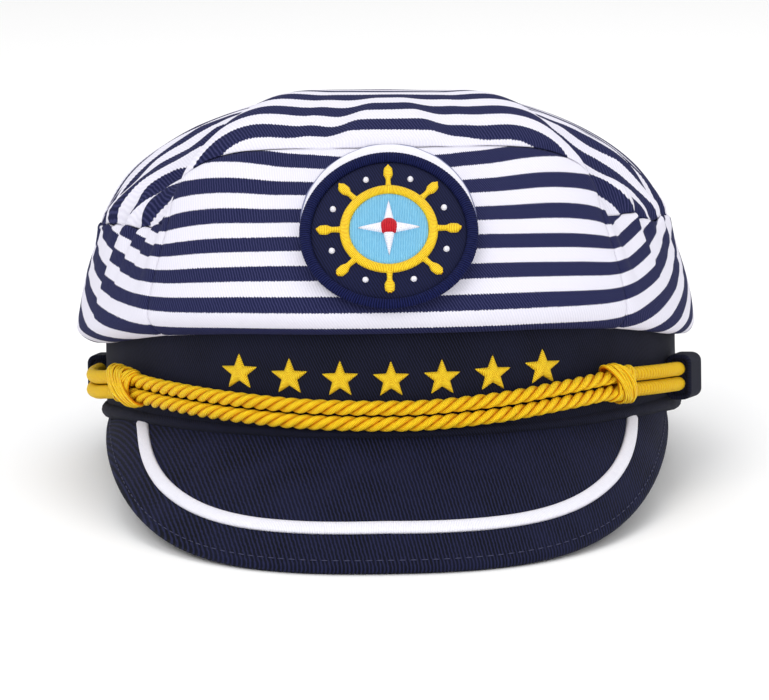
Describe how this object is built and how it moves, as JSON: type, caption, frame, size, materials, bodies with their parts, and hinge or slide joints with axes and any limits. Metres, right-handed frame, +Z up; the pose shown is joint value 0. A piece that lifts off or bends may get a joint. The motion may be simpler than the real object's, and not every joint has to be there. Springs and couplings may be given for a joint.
{
  "type": "captain hat",
  "caption": "Soft striped yachting cap with a navy band, a drooping peak with a white braid line, gold cords with knots, a round embroidered badge and a row of stars.",
  "frame": {"origin": "bottom centre of the cap's bounding box, on the surface it rests on", "axes": "+Z up from the surface, +Y from the peak's edge to the back of the band, +X towards the viewer's right from the front"},
  "size_m": [0.1872, 0.2522, 0.1164],
  "materials": {
    "striped_cotton": "cotton twill printed with even navy and white stripes, matt",
    "white_cotton": "plain white cotton, matt",
    "navy_twill": "navy cotton twill, matt",
    "navy_thread": "navy polyester overlock stitching, soft sheen",
    "white_braid": "white satin stitch, soft sheen",
    "gold_cord": "twisted golden rayon cord, soft sheen",
    "gold_thread": "golden satin stitch, soft sheen",
    "blue_thread": "light blue satin stitch, soft sheen",
    "white_thread": "white satin stitch, soft sheen",
    "red_thread": "red satin stitch, soft sheen"
  },
  "bodies": {
    "root": {"crown_front": "striped_cotton", "crown_side_left": "striped_cotton", "crown_side_right": "striped_cotton", "crown_tip": "striped_cotton", "band": "navy_twill", "band_welt": "navy_twill", "peak": "navy_twill", "peak_braid": "white_braid", "cord_upper": "gold_cord", "cord_lower": "gold_cord", "knot_left": "gold_cord", "knot_right": "gold_cord", "keeper_left": "navy_twill", "keeper_right": "navy_twill", "badge_pad": "white_cotton", "badge_ground": "navy_twill", "badge_border": "navy_thread", "emblem_wheel": "gold_thread", "emblem_field": "blue_thread", "emblem_compass": "white_thread", "emblem_hub": "red_thread", "star_1": "gold_thread", "star_2": "gold_thread", "star_3": "gold_thread", "star_4": "gold_thread", "star_5": "gold_thread", "star_6": "gold_thread", "star_7": "gold_thread"}
  },
  "joints": []
}
